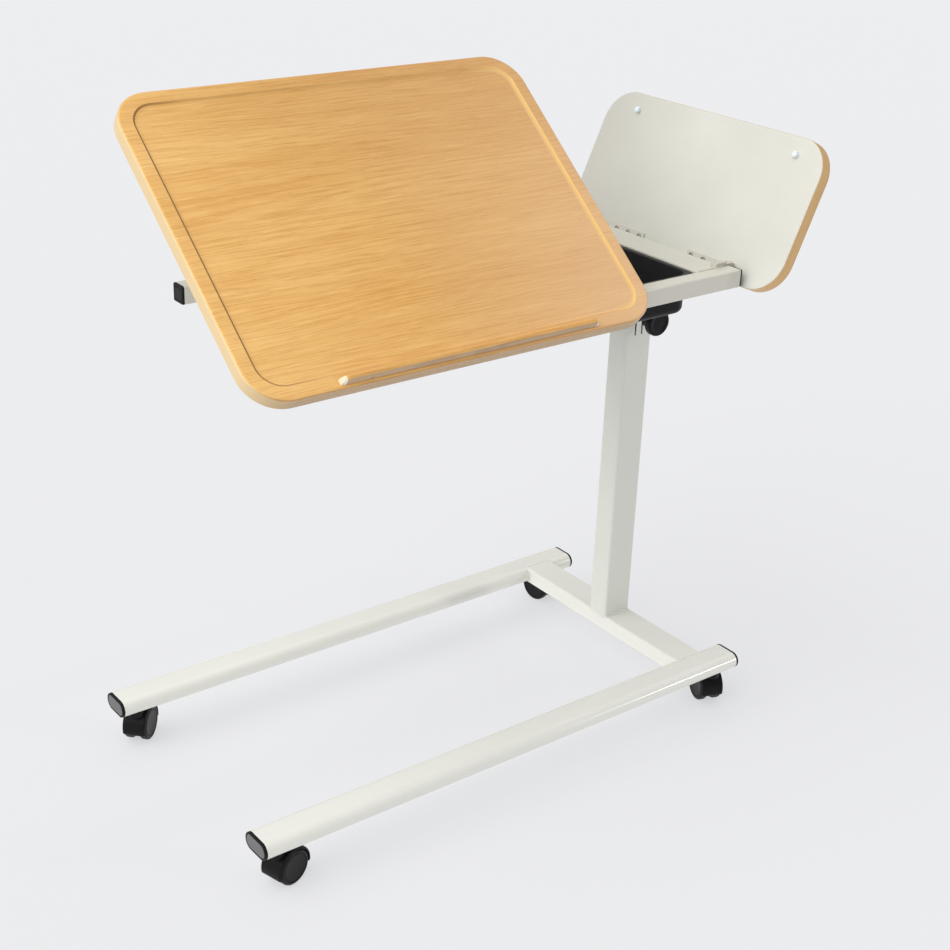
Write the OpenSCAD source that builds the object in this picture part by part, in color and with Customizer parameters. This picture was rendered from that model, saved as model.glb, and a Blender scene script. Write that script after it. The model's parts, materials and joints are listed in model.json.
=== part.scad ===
// Overbed table: U-shaped castor base, telescopic column with a clamp knob, open top frame with a
// storage tray, a tilting main board and a small flap that folds up off the tray.
// Millimetres, +Z up, floor at Z = 0, +X towards the column, -Y is the user's side.

/* [Base] */
// Overall length of each leg, with its end caps
leg_len = 832; // [760:4:900]
// Place of the middle of the legs along X
leg_mid_x = -39; // [-60:1:-20]
// Distance between the centre lines of the legs
leg_spread = 392; // [360:4:440]
// Width of the flat-oval leg tube
leg_w = 50; // [46:1:56]
// Height of the flat-oval leg tube
leg_h = 25; // [24:1:28]
// Height of the underside of the legs above the floor
leg_bottom = 60; // [60:1:62]
// Centre of the base cross member along X
base_cross_x = 309; // [300:1:312]
// Width of the base cross member
cross_w = 50; // [50:1:56]
// Wall of every steel tube
tube_wall = 1.5; // [1.2:0.1:2]
// Thickness of the leg end caps
leg_cap_t = 4; // [3:0.5:6]

/* [Castors] */
// Distance from the end of a leg to the castor stem
stem_inset = 31; // [30:1:60]
// Radius of the castor wheels
wheel_r = 25; // [25:0.5:25.5]
// Width of one wheel
wheel_w = 11; // [10:0.5:12]
// Trail: distance from the stem to the wheel axle
trail = 16; // [15:1:18]
// Thickness of the web between the two wheels
web_t = 12; // [12:0.5:14]
// Direction that the near left hood faces, counter-clockwise from +X
face_near_left = 195; // [0:1:359]
// Direction that the far left hood faces
face_far_left = 222; // [0:1:359]
// Direction that the near right hood faces
face_near_right = 250; // [0:1:359]
// Direction that the far right hood faces
face_far_right = 278; // [0:1:359]

/* [Column] */
// Centre of the column along X
column_x = 307; // [300:1:310]
// Size of the outer column along X
column_w = 50; // [48:1:52]
// Size of the outer column along Y
column_d = 38; // [36:1:42]
// Height of the top end of the outer column
column_top = 612; // [600:1:620]
// Thickness of the plastic liner between the two column tubes
liner_t = 1.2; // [1:0.1:1.5]
// Height of the lower end of the inner column at its lowest setting
inner_bottom = 110; // [105:5:140]
// Height of the clamp knob's axis
clamp_z = 583; // [580:1:590]
// Diameter of the clamp knob
knob_d = 40; // [34:1:46]

/* [Top frame] */
// Side of the square frame tubes
frame_s = 25; // [22:1:28]
// Height of the top of the frame, at the lowest setting
frame_top = 689; // [680:1:700]
// Distance between the centre lines of the two frame tubes
frame_spread = 327; // [320:1:340]
// Left end of the frame tubes, with their caps
frame_left = -345; // [-380:1:-320]
// Right end of the frame tubes, with their caps
frame_right = 343; // [340:1:344]
// Thickness of the frame end caps
frame_cap_t = 3; // [2:0.5:3]
// Centre of the cross member over the column
head_x = 305; // [304:1:306]
// Centre of the left cross member
cross_left_x = -177; // [-220:1:-120]
// Centre of the cross member beside the tray
cross_mid_x = 72; // [60:1:76]

/* [Tray] */
// Depth of the tray below its rim
tray_depth = 57; // [30:1:60]
// Wall of the tray
tray_wall = 2.5; // [2:0.5:4]
// Width that the tray's rim stands out past its sides
tray_rim = 4; // [3.5:0.5:5]

/* [Tops] */
// Length of the main board along X
main_len = 600; // [560:5:610]
// Left edge of the main board
main_left = -453.5; // [-460:0.5:-440]
// Width of both boards along Y
top_w = 438; // [430:1:450]
// Offset of the main board from the middle of the frame along Y
top_y = -3.5; // [-6:0.5:0]
// Offset of the flap from the middle of the frame along Y
flap_y = -9.5; // [-10:0.5:0]
// Thickness of the boards without their backing sheets
board_t = 19; // [18:0.5:20]
// Thickness of the white backing sheets
backing_t = 1; // [0.8:0.1:1]
// Corner radius of the boards
board_r = 50; // [30:1:60]
// Gap between the frame and a board that lies flat
top_gap = 6; // [6:0.1:6.4]
// Gap between the two boards when both lie flat
between_gap = 3.5; // [2:0.5:6]
// Length of the flap along X when it lies flat
flap_len = 218.5; // [210:0.5:220]
// Width of the raised rim round the main board
rim_w = 18; // [17:1:26]
// Width of the slope from the rim down to the sunken surface
slope_w = 7; // [5:0.5:10]
// Depth of the sunken surface below the rim
sunk_d = 2.2; // [1:0.1:3]
// Length of the book lip
lip_len = 386; // [300:1:420]
// Height of the book lip
lip_h = 11; // [8:0.5:14]

/* [Hinges and stays] */
// Angle of the main board above the horizontal
tilt = 39.2; // [0:0.1:39.2]
// Angle that the flap has turned from lying flat
flap_open = 114.4; // [0:0.1:114.4]
// Hinge axis of the main board along Y
tilt_y = -166.7; // [-167.2:0.1:-166.7]
// Hinge axis of the flap along X
flap_x = 347.4; // [347:0.1:348]
// Depth of the flap's hinge axis below the flap's underside
flap_drop = 9.4; // [9:0.1:9.8]
// Radius of the slot in the tilt quadrants
quad_r = 110; // [100:1:115]

/* [Hidden] */
$fn = 96;

// colours
ivory = [0.86, 0.86, 0.80];
oak = [0.86, 0.66, 0.40];
laminate = [0.90, 0.90, 0.87];
black = [0.09, 0.09, 0.10];
zinc = [0.72, 0.73, 0.74];
nylon = [0.88, 0.88, 0.86];

// limits of the tilting board and of the flap, in degrees
tilt_limit = 39.2;
flap_limit = 114.4;

// small clearances
run_gap = 0.05;
side_gap = 0.3;

// base
leg_y = leg_spread / 2;
leg_z = leg_bottom + leg_h / 2;
leg_x0 = leg_mid_x - leg_len / 2;
leg_x1 = leg_mid_x + leg_len / 2;
leg_top = leg_bottom + leg_h;
tube_r = 3;

// castors, in the order near left, far left, near right, far right
stem_at = [
    [leg_x0 + stem_inset, -leg_y], [leg_x0 + stem_inset, leg_y],
    [leg_x1 - stem_inset, -leg_y], [leg_x1 - stem_inset, leg_y]
];
facing = [face_near_left, face_far_left, face_near_right, face_far_right];
stem_r = 4;
stem_low = 36;
stem_high = 80;
socket_r = 8;
socket_flange_r = 11;
socket_flange_t = 1.2;
hood_top = leg_bottom - socket_flange_t - 0.5;
hood_in_r = wheel_r + 1;
hood_out_r = wheel_r + 4;
hood_front_low = -17;
hood_back_low = 189;
axle_r = 3;
castor_half = web_t / 2 + 0.5 + wheel_w;

// column
liner_out_w = column_w - 2 * tube_wall;
liner_out_d = column_d - 2 * tube_wall;
liner_in_w = liner_out_w - 2 * liner_t;
liner_in_d = liner_out_d - 2 * liner_t;
inner_w = liner_in_w - 2 * side_gap;
inner_d = liner_in_d - 2 * side_gap;
liner_low = 560;
liner_flange_t = 3;
column_r = 4;
frame_bottom = frame_top - frame_s;
slot_w = 3;
slot_pitch = 12.5;
slot_low = 553;
slot_high = 574;

// clamp, measured outwards from the column's near face
clamp_x = column_x - 1;
face_y = -column_d / 2;
pad_r = 5;
pad_out = 2.5;
pad_travel = 2.5;
pad_in_y = -inner_d / 2 - 0.1;
bush_r = 8;
bush_len = 12;
clamp_r = 4;
clamp_tip_r = 2.5;
knob_hub_r = 12;
knob_hub_len = 14;
knob_t = 12;
knob_back = bush_len + pad_travel + 1.5;

// top frame
frame_y = frame_spread / 2;
frame_in = frame_y - frame_s / 2;
frame_z = frame_top - frame_s / 2;
frame_tube_r = 2;
head_w = 50;
head_x0 = head_x - head_w / 2;
head_x1 = head_x + head_w / 2;

// tray
tray_x0 = cross_mid_x + frame_s / 2 + 1;
tray_x1 = head_x0 - 1;
tray_mid_x = (tray_x0 + tray_x1) / 2;
tray_len = tray_x1 - tray_x0;
tray_w = 2 * frame_in - 2;
tray_top = frame_top - 2;
tray_rim_t = 3;
tray_rim_r = 11;
tray_r = 22;
tray_foot_r = 10;
ledge_w = tray_rim + 0.5;

// boards
board_z = frame_top + top_gap;
main_right = main_left + main_len;
main_mid_x = main_left + main_len / 2;
tilt_z = board_z - top_gap / 2;
top_rise = top_gap / 2;
flap_left = main_right + between_gap;
flap_z = board_z - flap_drop;
lip_w = 9;
lip_inset = 3.5;

// hinges of the main board: leaf centres along X, and sizes
hinge_xs = [-300, 20];
leaf_len = 70;
leaf_w = 14;
leaf_t = 1.6;
base_leaf_w = 6.5;
knuckle_r = 2.6;
knuckles = 5;
knuckle_gap = 0.4;
hinge_pin_r = 1.5;
leaf_start = knuckle_r + 0.6;
leaf_screw_pitch = 24;
leaf_screw_v = leaf_start + 8;

// tilt quadrants: the bolt goes through a frame cross member
quad_xs = [cross_left_x - frame_s / 2, cross_mid_x - frame_s / 2];
quad_t = 4;
quad_half = 10;
bolt_r = 4;
bolt_fall = tilt_z - frame_z;
bolt_run = sqrt(quad_r * quad_r - bolt_fall * bolt_fall);
bolt_angle = atan2(bolt_fall, bolt_run);
slot_r = bolt_r + 0.3;
slot_end = bolt_angle + tilt_limit;
quad_end = bolt_angle + tilt_limit + 6;
quad_flange_w = 25;
quad_flange_t = 3;
quad_flange_len = 56;
quad_screw_v = [quad_r - 20, quad_r + 20];
nut_r = 7.5;
nut_t = 4;

// wood screws
screw_r = 1.75;
screw_len = 12;
screw_head_r = 4;
screw_head_t = 2;
flat_head_t = 1;
bumper_r = 5.5;
bumper_low = 0.3;
main_bumper_xs = [-300, -100, 100];
main_bumper_v = frame_y - tilt_y;

// flap: positions from its hinge axis, as it lies flat
flap_edge = flap_left + flap_len - flap_x;
flap_screw_x = 4.2;
flap_screw_ys = [55, 79.5, 104];
flange_x0 = -2.5;
flange_x1 = 16.2;
flange_t = 2;
flange_in_y = 46;
arm_t = 4.4;
cheek_t = 3;
lug_w = 2 * cheek_t + arm_t + 2 * side_gap;
lug_r = 6;
lug_x0 = 315;
lug_slot_x = flap_x - 11;
lug_top = board_z - 0.5;
flap_pin_r = 3;
flap_bumper_x = -172;
flap_bumper_ys = [-174, 145];
stop_r = 6;
stop_y = 25;
stop_z = flap_z - 14;

// ---------- shared shapes ----------

// Rectangle with round corners, centred
module rounded_rect(w, h, r) {
    square([w - 2 * r, h], center = true);
    square([w, h - 2 * r], center = true);
    for (x = [-1, 1], y = [-1, 1])
        translate([x * (w / 2 - r), y * (h / 2 - r)]) circle(r);
}

// Flat oval with its long axis along X, centred
module flat_oval(w, h) {
    square([w - h, h], center = true);
    for (x = [-1, 1]) translate([x * (w - h) / 2, 0]) circle(h / 2);
}

// Section of a rectangular tube
module tube_section(w, h, r) {
    difference() {
        rounded_rect(w, h, r);
        rounded_rect(w - 2 * tube_wall, h - 2 * tube_wall, r - tube_wall + 0.2);
    }
}

// Extrudes a section drawn in Y and Z along X, from x0 to x1
module run_x(x0, x1, y, z) {
    translate([x0, y, z]) rotate([90, 0, 90]) linear_extrude(x1 - x0) children();
}

// Extrudes a section drawn in X and Z along Y, from y0 to y1
module run_y(y0, y1, x = 0, z = 0) {
    translate([x, y1, z]) rotate([90, 0, 0]) linear_extrude(y1 - y0) children();
}

// Cylinder along X or Y, from one end to the other
module rod_x(x0, x1, y, z, r) {
    translate([x0, y, z]) rotate([0, 90, 0]) cylinder(r = r, h = x1 - x0);
}
module rod_y(y0, y1, x, z, r) {
    translate([x, y1, z]) rotate([90, 0, 0]) cylinder(r = r, h = y1 - y0);
}

// Sector of a disc between two angles that are more than 180 degrees apart
module wide_sector(r, from, to) {
    mid = (to + 360 + from) / 2;
    difference() {
        circle(r);
        polygon([[0, 0], for (a = [to, mid, 360 + from]) 2 * r * [cos(a), sin(a)]]);
    }
}

// Pan-head screw that points up from z = 0, with its head below
module pan_screw(head_t = screw_head_t) {
    cylinder(r = screw_r, h = screw_len);
    translate([0, 0, -head_t])
        rotate_extrude()
            polygon([[0, 0], [screw_head_r - 1.2, 0], [screw_head_r, head_t / 2], [screw_head_r, head_t],
                     [0, head_t]]);
}

// ---------- base ----------

module leg(y) {
    difference() {
        run_x(leg_x0 + leg_cap_t, leg_x1 - leg_cap_t, y, leg_z)
            difference() {
                flat_oval(leg_w, leg_h);
                flat_oval(leg_w - 2 * tube_wall, leg_h - 2 * tube_wall);
            }
        for (p = stem_at)
            translate([p[0], y, leg_bottom - 1]) cylinder(r = socket_r + run_gap, h = 4);
    }
}

module leg_near() {
    color(ivory) leg(-leg_y);
}

module leg_far() {
    color(ivory) leg(leg_y);
}

module base_cross() {
    color(ivory)
        difference() {
            run_y(-leg_y, leg_y, base_cross_x, leg_z) tube_section(cross_w, leg_h, tube_r);
            for (y = [-leg_y, leg_y])
                run_x(leg_x0, leg_x1, y, leg_z) flat_oval(leg_w, leg_h);
        }
}

module leg_caps() {
    color(black)
        for (y = [-leg_y, leg_y], side = [0, 1]) {
            x0 = side == 0 ? leg_x0 : leg_x1 - leg_cap_t;
            plug_x = side == 0 ? x0 + leg_cap_t : x0 - 14;
            run_x(x0, x0 + leg_cap_t, y, leg_z) flat_oval(leg_w, leg_h);
            run_x(plug_x, plug_x + 14, y, leg_z)
                flat_oval(leg_w - 2 * tube_wall - 0.4, leg_h - 2 * tube_wall - 0.4);
        }
}

module castor_sockets() {
    color(black)
        for (p = stem_at)
            translate([p[0], p[1], 0])
                difference() {
                    union() {
                        translate([0, 0, leg_bottom - socket_flange_t])
                            cylinder(r = socket_flange_r, h = socket_flange_t);
                        translate([0, 0, leg_bottom]) cylinder(r = socket_r, h = stem_high + 2 - leg_bottom);
                    }
                    cylinder(r = stem_r, h = stem_high);
                }
}

module castor_stems() {
    color(zinc)
        for (p = stem_at)
            translate([p[0], p[1], stem_low]) cylinder(r = stem_r, h = stem_high - stem_low);
}

// ---------- castors ----------

// Puts a shape drawn about the stem, with the hood facing +X, at castor i
module at_castor(i) {
    translate([stem_at[i][0], stem_at[i][1], 0]) rotate([0, 0, facing[i]]) children();
}

// Outline of the round hood about the axle
module hood_arc(r) {
    translate([-trail, wheel_r]) wide_sector(r, hood_front_low, hood_back_low);
}

module castor_hood(i) {
    color(black)
        at_castor(i)
            difference() {
                union() {
                    run_y(-castor_half + 0.5, castor_half - 0.5)
                        difference() {
                            hood_arc(hood_out_r);
                            translate([-trail, wheel_r]) circle(hood_in_r);
                        }
                    run_y(-web_t / 2, web_t / 2) {
                        hood_arc(hood_out_r);
                        translate([-trail, wheel_r]) circle(9);
                    }
                    difference() {
                        translate([0, 0, stem_low]) cylinder(r = 12, h = hood_top - stem_low);
                        rod_y(-castor_half, castor_half, -trail, wheel_r, hood_in_r + 0.6);
                    }
                }
                translate([0, 0, stem_low - side_gap]) cylinder(r = stem_r + run_gap, h = leg_bottom);
                rod_y(-castor_half, castor_half, -trail, wheel_r, axle_r);
            }
}

module castor_axle(i) {
    reach = castor_half - 2;
    color(zinc) at_castor(i) rod_y(-reach, reach, -trail, wheel_r, axle_r);
}

// Wheel with a blind bore in its inner face; side is -1 or 1
module castor_wheel(i, side) {
    w = wheel_w;
    r = wheel_r;
    color(black)
        at_castor(i)
            translate([-trail, side * (web_t / 2 + 0.5), wheel_r])
                rotate([-side * 90, 0, 0])
                    rotate_extrude()
                        polygon([
                            [axle_r + run_gap, 0], [r - 1.5, 0], [r, 1.5], [r, w - 2], [r - 2, w],
                            [r - 4, w], [r - 4.5, w - 0.6], [r - 5.5, w - 0.6], [r - 6, w],
                            [0, w], [0, w - 1.5], [axle_r + run_gap, w - 1.5]
                        ]);
}

module castor_hood_near_left() { castor_hood(0); }
module castor_hood_far_left() { castor_hood(1); }
module castor_hood_near_right() { castor_hood(2); }
module castor_hood_far_right() { castor_hood(3); }
module castor_axle_near_left() { castor_axle(0); }
module castor_axle_far_left() { castor_axle(1); }
module castor_axle_near_right() { castor_axle(2); }
module castor_axle_far_right() { castor_axle(3); }
module wheel_near_left_a() { castor_wheel(0, -1); }
module wheel_near_left_b() { castor_wheel(0, 1); }
module wheel_far_left_a() { castor_wheel(1, -1); }
module wheel_far_left_b() { castor_wheel(1, 1); }
module wheel_near_right_a() { castor_wheel(2, -1); }
module wheel_near_right_b() { castor_wheel(2, 1); }
module wheel_far_right_a() { castor_wheel(3, -1); }
module wheel_far_right_b() { castor_wheel(3, 1); }

// ---------- column and clamp ----------

// Round hole for the clamp pad through the near wall of the column
module pad_hole() {
    rod_y(-column_d, 0, clamp_x, clamp_z, pad_r + side_gap);
}

module column_outer() {
    color(ivory)
        difference() {
            translate([column_x, 0, leg_top])
                linear_extrude(column_top - leg_top) tube_section(column_w, column_d, column_r);
            for (s = [-1, 1])
                translate([clamp_x + s * slot_pitch / 2 - slot_w / 2, face_y - 1, slot_low])
                    cube([slot_w, tube_wall + 2, slot_high - slot_low]);
            pad_hole();
        }
}

module column_liner() {
    color(black)
        difference() {
            translate([column_x, 0, liner_low])
                linear_extrude(column_top - liner_low)
                    rounded_rect(liner_out_w, liner_out_d, column_r - tube_wall + 0.2);
            column_bore();
            pad_hole();
        }
    color(black)
        difference() {
            translate([column_x, 0, column_top])
                linear_extrude(liner_flange_t) rounded_rect(column_w, column_d, column_r);
            column_bore();
        }
}

// Space inside the liner
module column_bore() {
    translate([column_x, 0, liner_low - 1])
        linear_extrude(column_top) rounded_rect(liner_in_w, liner_in_d, tube_r + side_gap);
}

module column_inner() {
    color(ivory)
        translate([column_x, 0, inner_bottom])
            linear_extrude(frame_bottom - inner_bottom) tube_section(inner_w, inner_d, tube_r);
}

module column_glide() {
    color(black)
        translate([column_x, 0, inner_bottom]) {
            translate([0, 0, -12])
                linear_extrude(12) rounded_rect(liner_out_w - 2 * side_gap, liner_out_d - 2 * side_gap, 2);
            linear_extrude(15)
                rounded_rect(inner_w - 2 * tube_wall - 0.2, inner_d - 2 * tube_wall - 0.2, 1.5);
        }
}

// Threaded bush welded to the column, with a wider mouth for the pad
module clamp_bush() {
    mouth = pad_out + pad_travel + 0.5;
    color(ivory)
        difference() {
            rod_y(face_y - bush_len, face_y, clamp_x, clamp_z, bush_r);
            rod_y(face_y - bush_len - 1, face_y, clamp_x, clamp_z, clamp_r + run_gap);
            rod_y(face_y - mouth, face_y + 1, clamp_x, clamp_z, pad_r + side_gap);
        }
}

module clamp_pad() {
    color(nylon)
        difference() {
            rod_y(face_y - pad_out, pad_in_y, clamp_x, clamp_z, pad_r);
            rod_y(face_y - pad_out - 1, face_y + 0.7, clamp_x, clamp_z, clamp_tip_r + run_gap);
        }
}

module clamp_screw() {
    color(zinc) {
        rod_y(face_y - pad_out - 0.2, face_y + 0.5, clamp_x, clamp_z, clamp_tip_r);
        rod_y(face_y - knob_back - 8, face_y - pad_out - 0.1, clamp_x, clamp_z, clamp_r);
    }
}

module clamp_knob() {
    y1 = face_y - knob_back;
    r = knob_d / 2;
    color(black)
        translate([clamp_x, y1, clamp_z])
            rotate([90, 0, 0])
                difference() {
                    rotate_extrude()
                        polygon([
                            [0, 0], [knob_hub_r, 0], [knob_hub_r, knob_hub_len], [r - 1.5, knob_hub_len],
                            [r, knob_hub_len + 1.5], [r, knob_hub_len + knob_t - 3],
                            [r - 3, knob_hub_len + knob_t], [r - 7, knob_hub_len + knob_t],
                            [r - 8, knob_hub_len + knob_t - 1], [0, knob_hub_len + knob_t - 1]
                        ]);
                    translate([0, 0, -1]) cylinder(r = clamp_r, h = 9);
                }
}

// ---------- top frame ----------

module frame_tube(y) {
    run_x(frame_left + frame_cap_t, frame_right - frame_cap_t, y, frame_z)
        tube_section(frame_s, frame_s, frame_tube_r);
}

module frame_tube_near() {
    color(ivory) frame_tube(-frame_y);
}

module frame_tube_far() {
    color(ivory) frame_tube(frame_y);
}

module head_cross() {
    color(ivory)
        run_y(-frame_in, frame_in, head_x, frame_z) tube_section(head_w, frame_s, frame_tube_r);
}

// Cross member with the hole for a quadrant's bolt
module bolted_cross(x) {
    difference() {
        run_y(-frame_in, frame_in, x, frame_z) tube_section(frame_s, frame_s, frame_tube_r);
        rod_x(x - frame_s, x + frame_s, tilt_y + bolt_run, frame_z, bolt_r);
    }
}

module frame_cross_left() {
    color(ivory) bolted_cross(cross_left_x);
}

module frame_cross_mid() {
    color(ivory) bolted_cross(cross_mid_x);
}

module frame_caps() {
    plug = frame_s - 2 * tube_wall - 0.4;
    color(black)
        for (y = [-frame_y, frame_y], side = [0, 1]) {
            x0 = side == 0 ? frame_left : frame_right - frame_cap_t;
            plug_x = side == 0 ? x0 + frame_cap_t : x0 - 10;
            run_x(x0, x0 + frame_cap_t, y, frame_z) rounded_rect(frame_s, frame_s, frame_tube_r);
            run_x(plug_x, plug_x + 10, y, frame_z) rounded_rect(plug, plug, 1);
        }
}

// Box with round vertical corners of radius r and a lower edge of radius e, below z = 0
module tub(len, w, depth, r, e) {
    hull()
        for (x = [-1, 1], y = [-1, 1])
            translate([x * (len / 2 - r), y * (w / 2 - r), -depth]) {
                rotate_extrude($fn = 32) translate([r - e, e]) circle(e, $fn = 32);
                translate([0, 0, e]) cylinder(r = r, h = depth - e, $fn = 32);
            }
}

module tray() {
    body_len = tray_len - 2 * tray_rim;
    body_w = tray_w - 2 * tray_rim;
    color(black)
        translate([tray_mid_x, 0, tray_top])
            difference() {
                union() {
                    translate([0, 0, -tray_rim_t])
                        linear_extrude(tray_rim_t) rounded_rect(tray_len, tray_w, tray_rim_r);
                    tub(body_len, body_w, tray_depth, tray_r, tray_foot_r);
                }
                translate([0, 0, 1])
                    tub(body_len - 2 * tray_wall, body_w - 2 * tray_wall, tray_depth - tray_wall + 1,
                        tray_r - tray_wall, tray_foot_r - tray_wall);
            }
}

module tray_ledges() {
    color(ivory)
        for (s = [-1, 1])
            translate([tray_x0 + 4, s > 0 ? frame_in - ledge_w : -frame_in, tray_top - tray_rim_t - 3])
                cube([tray_len - 8, ledge_w, 3]);
}

// ---------- flap hinges ----------

// Clevis lug on the end of the frame; side is -1 for near, 1 for far
module flap_lug(side) {
    mid_y = side * (frame_in - lug_w / 2);
    color(ivory)
        difference() {
            run_y(mid_y - lug_w / 2, mid_y + lug_w / 2) {
                polygon([
                    [head_x1, frame_bottom + 8], [head_x1 + 6, frame_bottom + 8],
                    [flap_x + lug_r, flap_z], [flap_x, flap_z + lug_r],
                    [lug_slot_x, flap_z + lug_r], [lug_slot_x, lug_top], [lug_x0 + 3, lug_top],
                    [lug_x0, frame_top], [head_x1, frame_top]
                ]);
                translate([flap_x, flap_z]) circle(lug_r);
            }
            translate([lug_slot_x, mid_y - arm_t / 2 - side_gap, frame_bottom])
                cube([30, arm_t + 2 * side_gap, 2 * frame_s]);
            rod_y(mid_y - lug_w, mid_y + lug_w, flap_x, flap_z, flap_pin_r);
        }
}

module flap_lug_near() { flap_lug(-1); }
module flap_lug_far() { flap_lug(1); }

module flap_pins() {
    color(zinc)
        for (side = [-1, 1]) {
            mid_y = side * (frame_in - lug_w / 2);
            rod_y(mid_y - lug_w / 2, mid_y + lug_w / 2, flap_x, flap_z, flap_pin_r);
        }
}

// Rubber buffers that the flap leans on when it is fully open
module flap_stops() {
    low = stop_z - stop_r - flap_z;
    stop_x = flap_x + (flap_drop - low * cos(flap_limit)) / sin(flap_limit) - side_gap;
    color(black)
        for (y = [flap_y - stop_y, flap_y + stop_y]) rod_x(head_x1, stop_x, y, stop_z, stop_r);
}

// Puts a shape drawn about the flap's hinge axis, lying flat, at the flap's angle
module on_flap() {
    translate([flap_x, 0, flap_z]) rotate([0, flap_open, 0]) children();
}

module flap_screw_places() {
    for (side = [-1, 1], y = flap_screw_ys)
        translate([flap_screw_x, flap_y + side * y, flap_drop]) children();
}

module flap_bumper_places() {
    for (y = flap_bumper_ys) translate([flap_bumper_x, y, flap_drop]) children();
}

// Outline of the flap, as it lies flat
module flap_outline() {
    translate([flap_edge - flap_len / 2, flap_y]) rounded_rect(flap_len, top_w, board_r);
}

module flap_board() {
    color(oak)
        on_flap()
            difference() {
                translate([0, 0, flap_drop + backing_t]) linear_extrude(board_t) flap_outline();
                flap_screw_places() cylinder(r = screw_r + run_gap, h = screw_len + 0.5);
                flap_bumper_places() cylinder(r = screw_r + run_gap, h = screw_len + 0.5);
            }
}

module flap_backing() {
    color(laminate)
        on_flap()
            difference() {
                translate([0, 0, flap_drop]) linear_extrude(backing_t) flap_outline();
                flap_screw_places()
                    translate([0, 0, -1]) cylinder(r = screw_r + run_gap, h = backing_t + 2);
                flap_bumper_places()
                    translate([0, 0, -1]) cylinder(r = screw_r + run_gap, h = backing_t + 2);
            }
}

module flap_bracket(side) {
    mid_y = side * (frame_in - lug_w / 2);
    inner_y = flap_y + side * flange_in_y;
    color(ivory)
        on_flap()
            difference() {
                union() {
                    translate([flange_x0, min(inner_y, mid_y), flap_drop - flange_t])
                        cube([flange_x1 - flange_x0, abs(mid_y - inner_y), flange_t]);
                    run_y(mid_y - arm_t / 2, mid_y + arm_t / 2) {
                        circle(lug_r);
                        polygon([
                            [-lug_r, 0], [lug_r, 0], [flange_x1 - 2, flap_drop - flange_t / 2],
                            [flange_x1 - 2, flap_drop], [flange_x0, flap_drop],
                            [flange_x0, flap_drop - flange_t]
                        ]);
                    }
                }
                rod_y(mid_y - arm_t, mid_y + arm_t, 0, 0, flap_pin_r + run_gap);
                flap_screw_places()
                    translate([0, 0, -flange_t - 1]) cylinder(r = screw_r + run_gap, h = flange_t + 2);
            }
}

module flap_bracket_near() { flap_bracket(-1); }
module flap_bracket_far() { flap_bracket(1); }

module flap_screws() {
    color(zinc) on_flap() flap_screw_places() translate([0, 0, -flange_t]) pan_screw();
}

// Round buffer with its screw, hanging below a board's underside
module bumper() {
    h = top_gap - bumper_low;
    rotate([180, 0, 0])
        rotate_extrude()
            polygon([[0, 0], [bumper_r, 0], [bumper_r, h - 1.5], [bumper_r - 1.5, h], [0, h]]);
    cylinder(r = screw_r, h = screw_len);
}

module flap_bumpers() {
    color(nylon) on_flap() flap_bumper_places() bumper();
}

// ---------- main board ----------

// Puts a shape drawn about the main board's hinge axis, lying flat, at the board's tilt
module on_main() {
    translate([0, tilt_y, tilt_z]) rotate([tilt, 0, 0]) children();
}

module main_outline() {
    translate([main_mid_x, top_y - tilt_y]) rounded_rect(main_len, top_w, board_r);
}

// Space over a sunken face with sloping sides; w, h and r are its outline at the top of the slope
module sunken_face(w, h, r) {
    side = [[0, 0], [slope_w, sunk_d], [slope_w, sunk_d + 1], [0, sunk_d + 1]];
    dx = w / 2 - r;
    dy = h / 2 - r;
    linear_extrude(sunk_d + 1) rounded_rect(w - 2 * slope_w, h - 2 * slope_w, r - slope_w);
    for (x = [-1, 1], y = [-1, 1])
        translate([x * dx, y * dy, 0]) {
            cylinder(r1 = r - slope_w, r2 = r, h = sunk_d);
            translate([0, 0, sunk_d]) cylinder(r = r, h = 1);
        }
    for (a = [0, 180])
        rotate([0, 0, a]) {
            run_x(-dx, dx, h / 2 - slope_w, 0) polygon(side);
            run_y(-dy, dy, w / 2 - slope_w, 0) polygon(side);
        }
}

module leaf_screw_places() {
    for (x = hinge_xs, k = [-1, 0, 1])
        translate([x + k * leaf_screw_pitch, leaf_screw_v, top_rise]) children();
}

module quad_screw_places() {
    for (x = quad_xs, v = quad_screw_v)
        translate([x - side_gap - quad_flange_w / 2 - quad_t / 2, v, top_rise]) children();
}

module main_bumper_places() {
    for (x = main_bumper_xs) translate([x, main_bumper_v, top_rise]) children();
}

module main_screw_holes() {
    leaf_screw_places() translate([0, 0, -1]) cylinder(r = screw_r + run_gap, h = screw_len + 1.5);
    quad_screw_places() translate([0, 0, -1]) cylinder(r = screw_r + run_gap, h = screw_len + 1.5);
    main_bumper_places() translate([0, 0, -1]) cylinder(r = screw_r + run_gap, h = screw_len + 1.5);
}

module main_board() {
    top = top_rise + backing_t + board_t;
    color(oak)
        on_main()
            difference() {
                translate([0, 0, top_rise + backing_t]) linear_extrude(board_t) main_outline();
                translate([main_mid_x, top_y - tilt_y, top - sunk_d])
                    sunken_face(main_len - 2 * rim_w, top_w - 2 * rim_w, board_r - rim_w);
                main_screw_holes();
            }
}

module main_backing() {
    color(laminate)
        on_main()
            difference() {
                translate([0, 0, top_rise]) linear_extrude(backing_t) main_outline();
                main_screw_holes();
            }
}

module book_lip() {
    v0 = top_y - top_w / 2 - tilt_y + lip_inset;
    base = top_rise + backing_t + board_t;
    color(oak)
        on_main()
            run_y(v0, v0 + lip_w, main_mid_x + 2.5, base)
                polygon([
                    [-lip_len / 2, 0], [lip_len / 2, 0], [lip_len / 2 - lip_h, lip_h - 1],
                    [lip_len / 2 - lip_h - 2, lip_h], [-lip_len / 2 + lip_h + 2, lip_h],
                    [-lip_len / 2 + lip_h, lip_h - 1]
                ]);
}

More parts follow.
